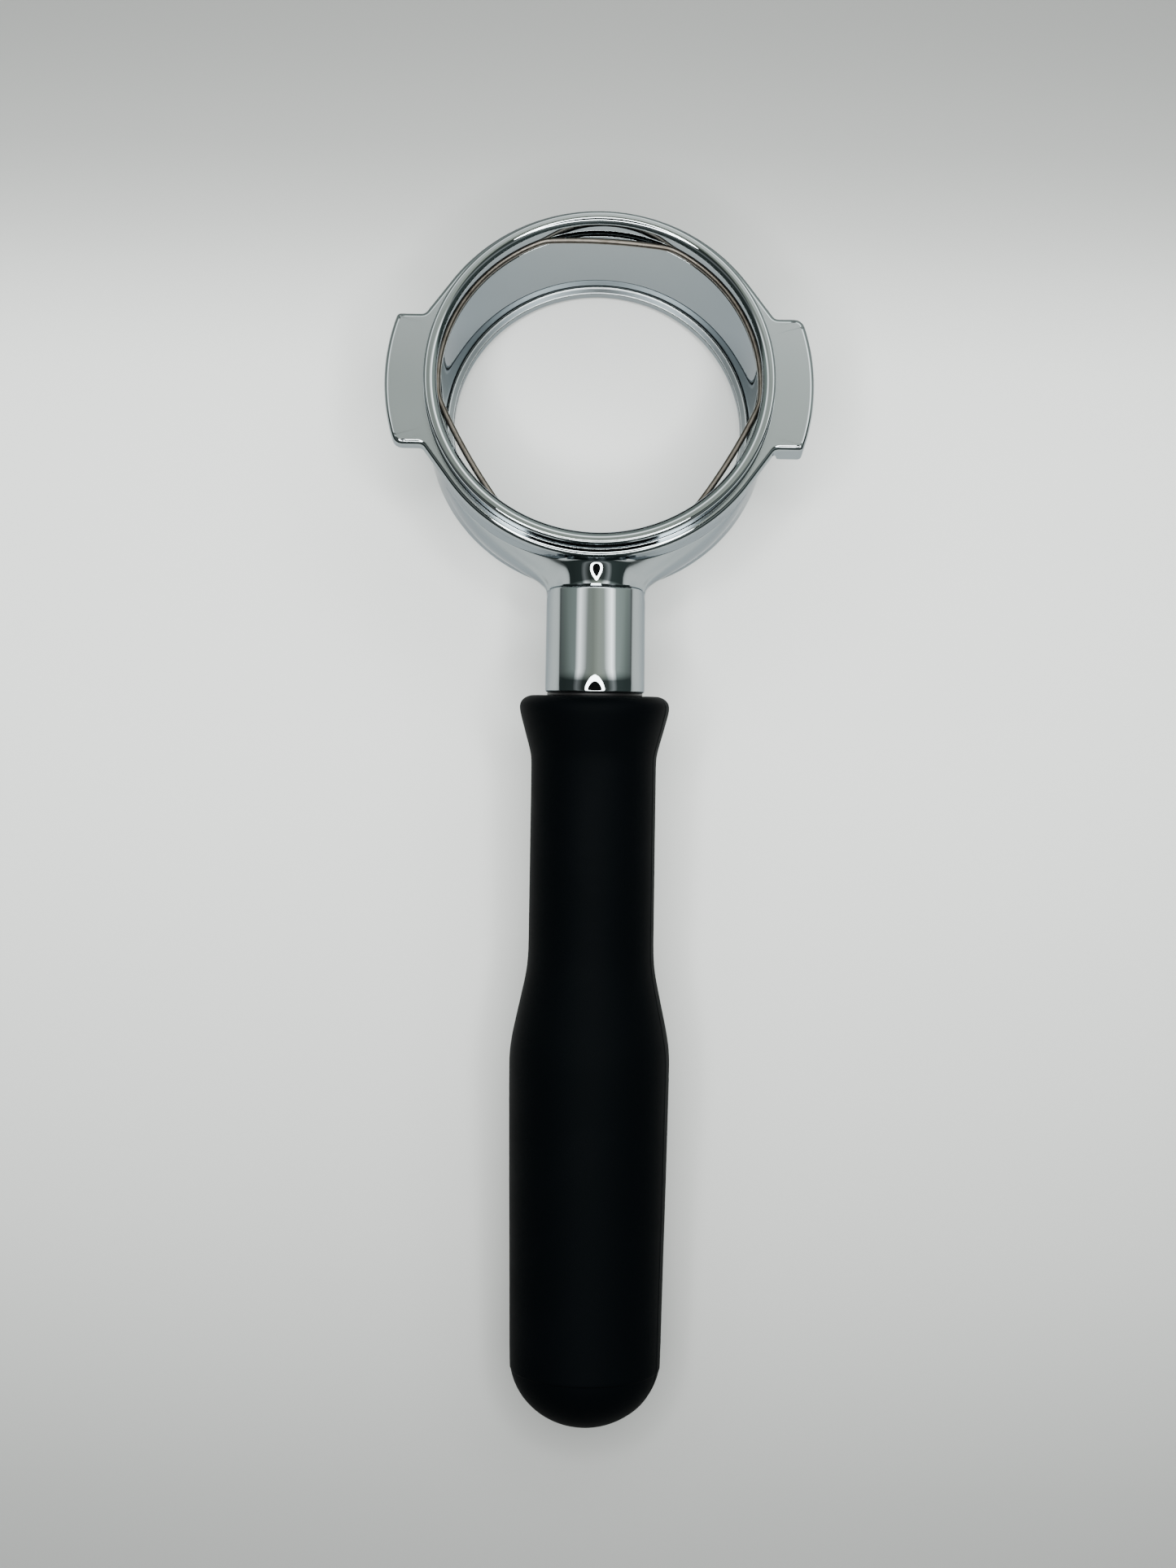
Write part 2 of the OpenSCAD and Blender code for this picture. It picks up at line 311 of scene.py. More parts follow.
# Distance from the section centre to the skin of web or neck, in direction v.
def neckSection(reach, v):
    c, s = math.cos(v), math.sin(v)
    near = max(reach, barrel["wall"])
    fade = near - barrel["wall"]
    away = min(max(scoop["centre"] - near, -2), 6)
    crownTop = scoop["low"] + scoop["curve"] - math.sqrt(scoop["curve"] ** 2 - away**2)
    crownTop += scoop["lipRise"] * math.exp(-fade / scoop["lipFade"])
    lift = crownTop - scoop["crown"] - neck["sectionZ"]
    crown = lift * s + math.sqrt(max(scoop["crown"] ** 2 - (lift * c) ** 2, 0.01))
    wide = web["half"] + web["flare"] * math.exp(-fade / web["flareFade"])
    tall = web["top"] if s > 0 else web["under"] + web["foot"] * math.exp(-fade / web["footFade"])
    power = web["squareness"] - web["topEase"] * rise(s, 0.0, 0.3)
    skin = (abs(c / wide) ** power + abs(s / tall) ** power) ** (-1 / power)
    root = (crown**9 + skin**9) ** (1 / 9)
    lift = neck["axisZ"] - neck["sectionZ"]
    radius = neck["radius"]
    upper = rise(s, 0.1, 0.55)
    if scoop["edge"] <= reach < scoop["edge"] + scoop["shoulder"]:
        t = (scoop["edge"] + scoop["shoulder"] - reach) / scoop["shoulder"]
        radius -= scoop["shoulderDepth"] * (1 - math.sqrt(1 - t * t)) * upper
    barRadius = lift * s + math.sqrt(radius**2 - (lift * c) ** 2)
    sharp = rise(reach, scoop["edge"] - 0.12, scoop["edge"])
    soft = rise(reach, 36.2, 41.5)
    return root + (barRadius - root) * (sharp * upper + soft * (1 - upper))


# Corners of the neck's skin in direction a, as (distance, height): at the bend and at the end rounding.
def neckPath(a):
    c, s = math.cos(neck["tilt"]), math.sin(neck["tilt"])
    up = neck["radius"] * math.sin(a)
    fold = -up * math.tan(neck["tilt"] / 2)
    last = neck["stub"] - neck["endRound"]
    bend = Vector((neck["bend"] - fold, up))
    if fold < last - 0.12:
        return bend, Vector((neck["bend"] + last * c + up * s, up * c - last * s))
    stop = Vector((neck["bend"] + (last + up * s) / c, up))
    return stop - Vector((0.1, 0)), stop


# The skin rolls over the bend above the axis and meets in a mitre below it.
def bendPoint(a, part):
    bend, stop = neckPath(a)
    lead = 0.15 + 2.45 * max(0.0, math.sin(a)) ** 0.7
    first = bend - Vector((lead, 0))
    last = bend + (stop - bend).normalized() * min((stop - bend).length * 0.9, lead)
    here = first * (1 - part) ** 2 + bend * 2 * part * (1 - part) + last * part**2
    return neck["radius"] * math.cos(a), -here.x, neck["axisZ"] + here.y


# Web and neck as rings of points that leave the barrel wall tangentially, with the threaded hole.
def neckMesh():
    reaches = [neck["inside"], 33.8, 33.95, 34.05, 34.15, 34.25, 34.4, 34.55, 34.75, 35.0, 35.25, 35.5,
               35.8, 36.1, 36.4, 36.7, 37.0, 37.3, 37.6, 37.9, 38.15, 38.35, 38.5, 38.6, 38.63, 38.66,
               38.69, 38.72, 38.75, 38.77, 38.81, 38.87, 38.95, 39.05, 39.17, 39.3, 39.45, 39.6, 39.7, 40,
               40.5, 41, 42, 43, 45, 47, 49, 50]
    around = 192
    flatFrom, flatTo = 40, 50  # the rings follow the barrel up to here and are plane from there
    turns = [2 * math.pi * k / around for k in range(around)]
    rings = []
    for shrink in (0.02, 0.25, 0.5, 0.75):
        rings.append([(neck["inside"], neckSection(neck["inside"], v) * shrink, v) for v in turns])
    for reach in reaches:
        rings.append([(reach, neckSection(reach, v), v) for v in turns])
    points = []
    for ring in rings:
        for reach, rho, v in ring:
            x, z = rho * math.cos(v), neck["sectionZ"] + rho * math.sin(v)
            flat = rise(reach, flatFrom, flatTo)
            points.append((x, -(reach * flat + math.sqrt(reach**2 - x * x) * (1 - flat)), z))
    count = len(rings)
    lift = neck["axisZ"] - neck["sectionZ"]
    angles = []
    for v in turns:
        rho = lift * math.sin(v) + math.sqrt(neck["radius"] ** 2 - (lift * math.cos(v)) ** 2)
        angles.append(math.atan2(rho * math.sin(v) - lift, rho * math.cos(v)))
    radius, tilt = neck["radius"], neck["tilt"]
    for part in (0.25, 0.5, 0.75):
        count += 1
        for a in angles:
            x, y, z = bendPoint(a, 0)
            points.append((x, -flatTo + (y + flatTo) * part, z))
    steps = 10
    for k in range(steps + 1):
        count += 1
        for a in angles:
            points.append(bendPoint(a, k / steps))
    steps = 6
    for k in range(steps + 1):
        count += 1
        turn = math.pi / 2 * k / steps
        for a in angles:
            stop = neckPath(a)[1]
            slide = neck["endRound"] * math.sin(turn)
            shrink = 1 - neck["endRound"] * (1 - math.cos(turn)) / radius
            centre = neck["bend"] + (neck["stub"] - neck["endRound"]) * math.cos(tilt)
            drop = (neck["stub"] - neck["endRound"]) * math.sin(tilt)
            flatX, flatZ = (stop.x - centre) * shrink + centre, (stop.y + drop) * shrink - drop
            y, z = -flatX - slide * math.cos(tilt), neck["axisZ"] + flatZ - slide * math.sin(tilt)
            points.append((radius * math.cos(a) * shrink, y, z))
    end, hole = neck["stub"], neck["hole"]
    turned = filletPath(
        [(end, radius - 1, 0), (end, hole + 0.5, 0.1), (end - 0.5, hole, 0.1),
         (end - neck["holeDepth"], hole, 0),
         (end - neck["holeDepth"] - 2, 0.05, 0)], closed=False)
    for distance, radius in turned:
        count += 1
        for a in angles:
            points.append(alongHandle(distance, radius * math.cos(a), radius * math.sin(a)))
    faces = gridFaces(count, around)
    faces.append(tuple(range(around)))
    faces.append(tuple(range((count - 1) * around, count * around)))
    return points, faces


bodyParts = [meshObject("bodyRing", *ringMesh()), meshObject("bodyNeck", *neckMesh())]
for part in bodyParts:
    closeMesh(part)
print("filter body built")


# An empty shader group with named inputs and one output value.
def effectGroup(name, inputs):
    group = bpy.data.node_groups.new(name, "ShaderNodeTree")
    for label, value in inputs.items():
        socketIn(group, label, "NodeSocketFloat", value)
    socketIn(group, "Value", out=True)
    start, stop = group.nodes.new("NodeGroupInput"), group.nodes.new("NodeGroupOutput")
    return group, start, stop


def useGroup(tree, group, sizes=None):
    node = tree.nodes.new("ShaderNodeGroup")
    node.node_tree = group
    for label, value in (sizes or {}).items():
        if isinstance(value, bpy.types.NodeSocket):
            tree.links.new(value, node.inputs[label])
        else:
            node.inputs[label].default_value = value
    return node.outputs[0]


# Mix of two colours or sockets.
def mixIn(tree, factor, a, b):
    node = tree.nodes.new("ShaderNodeMix")
    node.data_type = "RGBA"
    for index, value in ((0, factor), (6, a), (7, b)):
        if isinstance(value, bpy.types.NodeSocket):
            tree.links.new(value, node.inputs[index])
        else:
            node.inputs[index].default_value = value if index == 0 else (*value, 1)
    return node.outputs[2]


def rangeIn(tree, value, fromLow, fromHigh, toLow=0.0, toHigh=1.0):
    node = nodeIn(tree, "ShaderNodeMapRange", {0: value, 1: fromLow, 2: fromHigh, 3: toLow, 4: toHigh})
    return node.outputs[0]


def noiseIn(tree, scale, detail=4.0, rough=0.55, vector=None):
    inputs = {"Scale": scale, "Detail": detail, "Roughness": rough}
    if vector is not None:
        inputs["Vector"] = vector
    return nodeIn(tree, "ShaderNodeTexNoise", inputs).outputs["Fac"]


def objectPoint(tree):
    return nodeIn(tree, "ShaderNodeTexCoord").outputs["Object"]


# Concentric marks left by a lathe round the bore axis.
def makeTurning():
    group, start, stop = effectGroup("TurningMarks", {"Lines per metre": 9000.0, "Waver": 0.4})
    point = objectPoint(group)
    axes = nodeIn(group, "ShaderNodeSeparateXYZ", {0: point})
    square = mathIn(group, "ADD", mathIn(group, "MULTIPLY", axes.outputs[0], axes.outputs[0]),
                    mathIn(group, "MULTIPLY", axes.outputs[1], axes.outputs[1]))
    radius = mathIn(group, "SQRT", square)
    ring = nodeIn(group, "ShaderNodeCombineXYZ",
                  {0: mathIn(group, "MULTIPLY", radius, start.outputs[0]), 1: axes.outputs[2]})
    lines = noiseIn(group, 1.0, 3.0, 0.6, ring.outputs[0])
    drift = noiseIn(group, 60.0, 2.0, 0.5, point)
    value = mathIn(group, "MULTIPLY_ADD", mathIn(group, "SUBTRACT", drift, 0.5), start.outputs[1], lines)
    group.links.new(value, stop.inputs[0])
    return group


# Soft patches where skin or a cloth has dulled the surface.
def makeSmudge():
    group, start, stop = effectGroup("Smudge", {"Scale": 40.0, "Coverage": 0.45, "Softness": 0.2})
    point = objectPoint(group)
    warp = nodeIn(group, "ShaderNodeTexNoise", {"Vector": point, "Scale": 25.0, "Detail": 2.0})
    moved = nodeIn(group, "ShaderNodeVectorMath", {0: point, 1: warp.outputs["Color"]},
                   operation="MULTIPLY_ADD")
    moved.inputs[2].default_value = (0, 0, 0)
    shifted = nodeIn(group, "ShaderNodeVectorMath", {0: point, 1: moved.outputs[0]}, operation="ADD")
    patches = nodeIn(group, "ShaderNodeTexNoise",
                     {"Vector": shifted.outputs[0], "Scale": start.outputs[0], "Detail": 6.0,
                                                   "Roughness": 0.6}).outputs["Fac"]
    low = mathIn(group, "SUBTRACT", 1.0, start.outputs[1])
    high = mathIn(group, "ADD", low, start.outputs[2])
    mask = nodeIn(group, "ShaderNodeMapRange", {0: patches, 1: low, 2: high, 3: 0.0, 4: 1.0}).outputs[0]
    group.links.new(mask, stop.inputs[0])
    return group


# Fine pebbled texture of a moulded soft-touch skin.
def makeGrain():
    group, start, stop = effectGroup("MouldGrain", {"Cells per metre": 5200.0, "Fine": 0.35})
    point = objectPoint(group)
    cells = nodeIn(group, "ShaderNodeTexVoronoi",
                   {"Vector": point, "Scale": start.outputs[0], "Randomness": 1.0},
                   feature="SMOOTH_F1").outputs["Distance"]
    fine = nodeIn(group, "ShaderNodeTexNoise",
                  {"Vector": point, "Scale": mathIn(group, "MULTIPLY", start.outputs[0], 2.4),
                                                "Detail": 2.0}).outputs["Fac"]
    value = mathIn(group, "MULTIPLY_ADD", fine, start.outputs[1], cells)
    group.links.new(value, stop.inputs[0])
    return group


turningMarks, smudge, mouldGrain = makeTurning(), makeSmudge(), makeGrain()


def plainMaterial(name, color, metallic=0.0, rough=0.5, **more):
    material = bpy.data.materials.new(name)
    material.use_nodes = True
    tree = material.node_tree
    shader = tree.nodes["Principled BSDF"]
    shader.inputs["Base Color"].default_value = (*color, 1)
    shader.inputs["Metallic"].default_value = metallic
    shader.inputs["Roughness"].default_value = rough
    for key, value in more.items():
        shader.inputs[key].default_value = value
    return material, tree, shader


def addBump(tree, shader, height, strength, distance):
    bump = nodeIn(tree, "ShaderNodeBump", {"Strength": strength, "Distance": distance, "Height": height})
    tree.links.new(bump.outputs[0], shader.inputs["Normal"])
    return bump


# Colours, and the sizes in metres of the band of flange that keeps its turning marks
chromeLook = {"clean": (0.3, 0.325, 0.335), "dulled": (0.275, 0.295, 0.3), "edge": (0.47, 0.5, 0.53, 1),
              "bandFoot": (0.0262, 0.0268), "bandTop": (0.0292, 0.0286), "bandAside": (0.008, 0.024),
              "ledgeTop": (0.0026, 0.0022), "ledgeRough": 0.3}


def chromeMaterial():
    material, tree, shader = plainMaterial("chromedBrass", (0.56, 0.6, 0.62), 1.0, 0.02)
    dull = useGroup(tree, smudge, {"Scale": 55.0, "Coverage": 0.4, "Softness": 0.25})
    turned = useGroup(tree, turningMarks, {"Lines per metre": 7000.0})
    facing = nodeIn(tree, "ShaderNodeSeparateXYZ",
                    {0: nodeIn(tree, "ShaderNodeNewGeometry").outputs["Normal"]}).outputs[2]
    height = nodeIn(tree, "ShaderNodeSeparateXYZ", {0: objectPoint(tree)}).outputs[2]
    flat = mathIn(tree, "MULTIPLY", rangeIn(tree, facing, 0.97, 0.995),
                  rangeIn(tree, height, *chromeLook["bandFoot"]))
    flat = mathIn(tree, "MULTIPLY", flat, rangeIn(tree, height, *chromeLook["bandTop"]))
    aside = mathIn(tree, "ABSOLUTE",
                   nodeIn(tree, "ShaderNodeSeparateXYZ", {0: objectPoint(tree)}).outputs[0])
    flat = mathIn(tree, "MULTIPLY", flat, rangeIn(tree, aside, *chromeLook["bandAside"]))
    rough = mathIn(tree, "MULTIPLY_ADD", dull, 0.02, 0.015)
    rough = mathIn(tree, "ADD", rough,
                   mathIn(tree, "MULTIPLY", mathIn(tree, "MULTIPLY_ADD", turned, 0.1, 0.12), flat))
    ledge = mathIn(tree, "MULTIPLY", rangeIn(tree, facing, 0.8, 0.95),
                   rangeIn(tree, height, *chromeLook["ledgeTop"]))
    rough = mathIn(tree, "MULTIPLY_ADD", ledge, chromeLook["ledgeRough"], rough)
    tree.links.new(rough, shader.inputs["Roughness"])
    tone = mixIn(tree, dull, chromeLook["clean"], chromeLook["dulled"])
    shader.inputs["Specular Tint"].default_value = chromeLook["edge"]
    tree.links.new(tone, shader.inputs["Base Color"])
    addBump(tree, shader, turned, 0.03, 0.00002)
    return material


def wireMaterial():
    material, tree, shader = plainMaterial("springSteel", (0.2, 0.18, 0.155), 1.0, 0.34)
    drawn = noiseIn(tree, 900.0, 3.0, 0.6, objectPoint(tree))
    stain = useGroup(tree, smudge, {"Scale": 260.0, "Coverage": 0.55, "Softness": 0.3})
    tree.links.new(mixIn(tree, stain, (0.125, 0.112, 0.097), (0.07, 0.059, 0.048)),
                   shader.inputs["Base Color"])
    tree.links.new(rangeIn(tree, drawn, 0.3, 0.7, 0.26, 0.44), shader.inputs["Roughness"])
    addBump(tree, shader, drawn, 0.15, 0.00002)
    return material


def steelMaterial():
    material, tree, shader = plainMaterial("machinedSteel", (0.56, 0.57, 0.58), 1.0, 0.28)
    grain = noiseIn(tree, 1500.0, 3.0, 0.6, objectPoint(tree))
    tree.links.new(rangeIn(tree, grain, 0.3, 0.7, 0.2, 0.36), shader.inputs["Roughness"])
    addBump(tree, shader, grain, 0.1, 0.00002)
    return material


def brassMaterial():
    material, tree, shader = plainMaterial("insertBrass", (0.72, 0.53, 0.24), 1.0, 0.3)
    stain = useGroup(tree, smudge, {"Scale": 120.0, "Coverage": 0.5, "Softness": 0.3})
    tree.links.new(mixIn(tree, stain, (0.74, 0.55, 0.26), (0.5, 0.35, 0.15)), shader.inputs["Base Color"])
    return material


def washerMaterial():
    material, tree, shader = plainMaterial("washerBlack", (0.006, 0.006, 0.0065), 0.0, 0.42,
                                           **{"Specular IOR Level": 0.25})
    fibre = noiseIn(tree, 2600.0, 4.0, 0.7, objectPoint(tree))
    tree.links.new(rangeIn(tree, fibre, 0.3, 0.7, 0.34, 0.55), shader.inputs["Roughness"])
    addBump(tree, shader, fibre, 0.25, 0.00003)
    return material


def nylonMaterial():
    material, tree, shader = plainMaterial("nylonBlack", (0.006, 0.0065, 0.007), 0.0, 0.36,
                                           **{"Specular IOR Level": 0.25})
    flow = noiseIn(tree, 420.0, 3.0, 0.6, objectPoint(tree))
    tree.links.new(rangeIn(tree, flow, 0.3, 0.7, 0.27, 0.4), shader.inputs["Roughness"])
    addBump(tree, shader, flow, 0.08, 0.00003)
    return material


def gripMaterial():
    material, tree, shader = plainMaterial("softTouchBlack", (0.0014, 0.0022, 0.003), 0.0, 0.6,
                                           **{"Specular IOR Level": 0.02})
    grain = useGroup(tree, mouldGrain)
    worn = useGroup(tree, smudge, {"Scale": 30.0, "Coverage": 0.5, "Softness": 0.3})
    tree.links.new(mathIn(tree, "MULTIPLY_ADD", worn, -0.06, 0.62), shader.inputs["Roughness"])
    tree.links.new(mixIn(tree, worn, (0.0005, 0.001, 0.0014), (0.0008, 0.0013, 0.0018)),
                   shader.inputs["Base Color"])
    addBump(tree, shader, grain, 0.22, 0.00004)
    return material


finishes = {
    "filter_body": ("chromed_brass", chromeMaterial()),
    "basket_spring": ("spring_steel", wireMaterial()),
    "neck_washer": ("washer_black", washerMaterial()),
    "handle_stud": ("zinc_steel", steelMaterial()),
    "thread_insert": ("insert_brass", brassMaterial()),
    "handle_core": ("nylon_black", nylonMaterial()),
    "grip_skin": ("soft_touch_black", gripMaterial()),
}


# Gives a piece the finish of the CAD node it stands for, and its body.
def dress(obj, node, body):
    slotName, material = finishes[node]
    obj.data.materials.clear()
    obj.data.materials.append(material)
    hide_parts(node)
    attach(obj, body)
    return obj


for node, finish in finishes.items():
    plain = frame["nodes"][node]
    plain.data.materials.clear()
    plain.data.materials.append(finish[1])
print("materials built")

bpy.ops.object.select_all(action="DESELECT")
for part in bodyParts:
    part.select_set(True)
bpy.context.view_layer.objects.active = bodyParts[0]
bpy.ops.object.join()
filterBody = bodyParts[0]
filterBody.name = "filterBody"
dress(filterBody, "filter_body", "head")


# Basket spring
springSizes = {"Arc radius": 31.1 * mm, "Straight distance": 29.2 * mm, "Straight half": 12.2 * mm,
               "Straight bow": 0.6 * mm, "Wire radius": 0.6 * mm, "Gap angle": math.radians(11)}

springStraights = (87.2, 209.3, 329.7)  # directions of the three straights, in degrees


# A wire ring pressed flat towards three directions, left open at the handle side.
def springGroup():
    group, start, stop = geometryGroup("BasketSpring", springSizes)
    sweep = mathIn(group, "SUBTRACT", 2 * math.pi, start.outputs["Gap angle"])
    begin = mathIn(group, "MULTIPLY_ADD", start.outputs["Gap angle"], 0.5, math.radians(270))
    arc = nodeIn(group, "GeometryNodeCurveArc", {"Resolution": 720, "Radius": start.outputs["Arc radius"],
                                                 "Start Angle": begin, "Sweep Angle": sweep})
    place = nodeIn(group, "GeometryNodeInputPosition").outputs[0]
    heading = nodeIn(group, "ShaderNodeVectorMath", {0: place}, operation="NORMALIZE").outputs[0]
    radius = start.outputs["Arc radius"]
    slack = mathIn(group, "POWER", mathIn(group, "DIVIDE", start.outputs["Straight distance"],
                                          start.outputs["Straight half"]), 2.0)
    slack = mathIn(group, "MULTIPLY", slack, start.outputs["Straight bow"])
    for angle in springStraights:
        a = math.radians(angle)
        facing = nodeIn(group, "ShaderNodeVectorMath", {0: heading, 1: (math.cos(a), math.sin(a), 0)},
                        operation="DOT_PRODUCT")
        lean = mathIn(group, "MAXIMUM", facing.outputs["Value"], 0.5)
        steep = mathIn(group, "SUBTRACT", mathIn(group, "POWER", lean, -2.0), 1.0)
        bowed = mathIn(group, "SUBTRACT", start.outputs["Straight distance"],
                       mathIn(group, "MULTIPLY", slack, steep))
        reach = mathIn(group, "DIVIDE", bowed, lean)
        radius = mathIn(group, "SMOOTH_MIN", radius, reach, 0.0007)
    target = nodeIn(group, "ShaderNodeVectorMath", {0: heading, "Scale": radius},
                    operation="SCALE").outputs[0]
    bent = nodeIn(group, "GeometryNodeSetPosition", {"Geometry": arc.outputs[0], "Position": target})
    section = nodeIn(group, "GeometryNodeCurvePrimitiveCircle",
                     {"Resolution": 20, "Radius": start.outputs["Wire radius"]})
    wire = nodeIn(group, "GeometryNodeCurveToMesh",
                  {"Curve": bent.outputs[0], "Profile Curve": section.outputs[0], "Fill Caps": True})
    lifted = nodeIn(group, "GeometryNodeTransform",
                    {"Geometry": wire.outputs[0], "Translation": (0, 0, groove["z"] * mm)})
    real = nodeIn(group, "GeometryNodeRealizeInstances", {0: lifted.outputs[0]})
    coat = nodeIn(group, "GeometryNodeSetMaterial",
                  {"Geometry": real.outputs[0], "Material": start.outputs["Material"]})
    group.links.new(coat.outputs[0], stop.inputs[0])
    return group


spring = closeMesh(bakeGroup("basketSpring", springGroup(), springSizes, finishes["basket_spring"][1]))
dress(spring, "basket_spring", "spring")


# Neck washer
washerSizes = {"inner": 6.3, "outer": 9.2, "thick": 0.6}
handleStart = neck["stub"] + washerSizes["thick"]


# Turns (distance along the handle, radius) points round the handle axis.
def latheMesh(name, profile, around=128, closed=True):
    points = []
    for distance, radius in profile:
        for k in range(around):
            a = 2 * math.pi * k / around
            points.append(alongHandle(distance, radius * math.cos(a), radius * math.sin(a)))
    return meshObject(name, points, gridFaces(len(profile), around, closeRows=closed))


washer = closeMesh(latheMesh("neckWasher", filletPath(
    [(neck["stub"], washerSizes["inner"], 0), (neck["stub"], washerSizes["outer"], 0.15),
     (handleStart, washerSizes["outer"], 0.15), (handleStart, washerSizes["inner"], 0)])))
dress(washer, "neck_washer", "washer")


# Handle core, as (distance behind the washer, radius, rounding)
coreProfile = [(0, 6.3, 0.2), (0, 11.1, 0.3), (2.5, 11.1, 0), (2.5, 11.6, 0), (4.5, 11.4, 0), (11, 10.1, 0),
               (15, 9.7, 0), (49, 9.7, 0), (54, 10.1, 0), (63, 12.2, 0), (69, 13.2, 0), (83, 13.1, 0),
               (112, 12.6, 0), (128, 12.3, 0), (133, 11.4, 0), (137, 8.9, 0), (139.6, 5, 0),
               (140.2, 0.05, 0), (32, 0.05, 0), (32, 9, 0), (6, 9, 0), (6, 6.3, 0)]
core = latheMesh("handleCore", [(handleStart + d, r) for d, r in filletPath(coreProfile)])
dress(closeMesh(core), "handle_core", "handle")


# Distance behind the washer and radius, from the front ring to where the rounded end begins
gripFront = [(4.5, 11.42), (2.5, 11.6), (2.45, 11.25), (0.2, 11.2), (0.05, 11.4), (0, 11.9), (0.12, 12.6),
             (0.5, 13.45), (1.1, 14.08), (1.75, 14.36), (2.4, 14.42), (3.3, 14.3), (5.2, 13.83),
             (7.7, 13.15), (9.6, 12.62), (11, 12.28), (12.4, 12.1), (14.5, 12.06), (20, 12.06), (30, 12.08),
             (44, 12.12), (48.5, 12.14), (51.5, 12.28), (54.4, 12.66), (59.2, 13.66), (63.9, 14.67),
             (66.5, 15.15), (69, 15.45), (72.5, 15.54), (83, 15.42), (97.4, 15.21), (112, 14.96)]
bendPlace, bendTurn = (0, -neck["bend"] * mm, neck["axisZ"] * mm), (neck["tilt"], 0, 0)
gripTail = {"start": 128.8, "radius": 14.7, "length": 13.5}
gripBack = [(140.2, 0.0), (139.6, 5), (137, 8.9), (133, 11.4), (128, 12.3), (112, 12.6), (83, 13.1),
            (69, 13.2), (63, 12.2), (54, 10.1), (49, 9.7), (15, 9.7), (11, 10.1), (4.5, 11.42)]
gripEnd = [(gripTail["start"] + gripTail["length"] * math.sin(math.radians(a)),
            gripTail["radius"] * math.cos(math.radians(a)))
           for a in range(0, 91, 9)]
gripProfile = gripFront + gripEnd + gripBack
gripSizes = {"Start": handleStart * mm, "Seam angle": math.radians(19.5), "Seam height": 0.09 * mm,
             "Seam width": 0.28 * mm}


# Turns a half profile round the handle axis and raises the mould seam on both sides.
def gripGroup():
    group, start, stop = geometryGroup("GripSkin", gripSizes)
    curve = nodeIn(group, "GeometryNodeMeshToCurve", {0: start.outputs["Geometry"]})
    smoothed = nodeIn(group, "GeometryNodeCurveSplineType", {"Curve": curve.outputs[0]},
                      spline_type="CATMULL_ROM")
    fine = nodeIn(group, "GeometryNodeSetSplineResolution",
                  {"Geometry": smoothed.outputs[0], "Resolution": 5})
    stations = nodeIn(group, "GeometryNodeCurveToPoints", {"Curve": fine.outputs[0]}, mode="EVALUATED")
    tally = nodeIn(group, "GeometryNodeAttributeDomainSize", {0: stations.outputs["Points"]},
                   component="POINTCLOUD")
    sheet = nodeIn(group, "GeometryNodeMeshGrid",
                   {"Size X": 1.0, "Size Y": 1.0, "Vertices X": tally.outputs[0], "Vertices Y": 300})
    place = nodeIn(group, "GeometryNodeInputPosition").outputs[0]
    axes = nodeIn(group, "ShaderNodeSeparateXYZ", {0: place})
    last = mathIn(group, "SUBTRACT", tally.outputs[0], 1.0)
    station = mathIn(group, "ROUND",
                     mathIn(group, "MULTIPLY", mathIn(group, "ADD", axes.outputs[0], 0.5), last))
    turn = mathIn(group, "MULTIPLY", mathIn(group, "ADD", axes.outputs[1], 0.5), 2 * math.pi)
    seam = start.outputs["Seam angle"]
    crowd = mathIn(group, "SINE", mathIn(group, "MULTIPLY", mathIn(group, "SUBTRACT", turn, seam), 2.0))
    angle = mathIn(group, "MULTIPLY_ADD", crowd, -0.4, turn)
    sample = nodeIn(group, "GeometryNodeSampleIndex",
                    {"Geometry": stations.outputs["Points"], "Index": station},
                    data_type="FLOAT_VECTOR", domain="POINT")
    group.links.new(nodeIn(group, "GeometryNodeInputPosition").outputs[0], sample.inputs["Value"])
    shape = nodeIn(group, "ShaderNodeSeparateXYZ", {0: sample.outputs[0]})
    radius, reach = shape.outputs[0], shape.outputs[1]
    off = mathIn(group, "ABSOLUTE",
                 mathIn(group, "MULTIPLY", mathIn(group, "SINE", mathIn(group, "SUBTRACT", angle, seam)),
                        radius))
    bump = mathIn(group, "EXPONENT",
                  mathIn(group, "MULTIPLY",
                         mathIn(group, "POWER", mathIn(group, "DIVIDE", off, start.outputs["Seam width"]),
                                2.0), -1.0))
    outside = nodeIn(group, "ShaderNodeMapRange",
                     {0: reach, 1: 0.0004, 2: 0.0016, 3: 0.0, 4: 1.0}).outputs[0]
    raised = mathIn(group, "MULTIPLY", mathIn(group, "MULTIPLY", bump, outside),
                    start.outputs["Seam height"])
    radius = mathIn(group, "ADD", radius, raised)
    target = nodeIn(group, "ShaderNodeCombineXYZ", {
        0: mathIn(group, "MULTIPLY", radius, mathIn(group, "COSINE", angle)),
        1: mathIn(group, "MULTIPLY", mathIn(group, "ADD", reach, start.outputs["Start"]), -1.0),
        2: mathIn(group, "MULTIPLY", radius, mathIn(group, "SINE", angle))})
    moved = nodeIn(group, "GeometryNodeSetPosition",
                   {"Geometry": sheet.outputs[0], "Position": target.outputs[0]})
    tilted = nodeIn(group, "GeometryNodeTransform",
                    {"Geometry": moved.outputs[0], "Translation": bendPlace, "Rotation": bendTurn})
    joined = nodeIn(group, "GeometryNodeMergeByDistance", {"Geometry": tilted.outputs[0], "Distance": 1e-6})
    real = nodeIn(group, "GeometryNodeRealizeInstances", {0: joined.outputs[0]})
    coat = nodeIn(group, "GeometryNodeSetMaterial",
                  {"Geometry": real.outputs[0], "Material": start.outputs["Material"]})
    group.links.new(coat.outputs[0], stop.inputs[0])
    return group


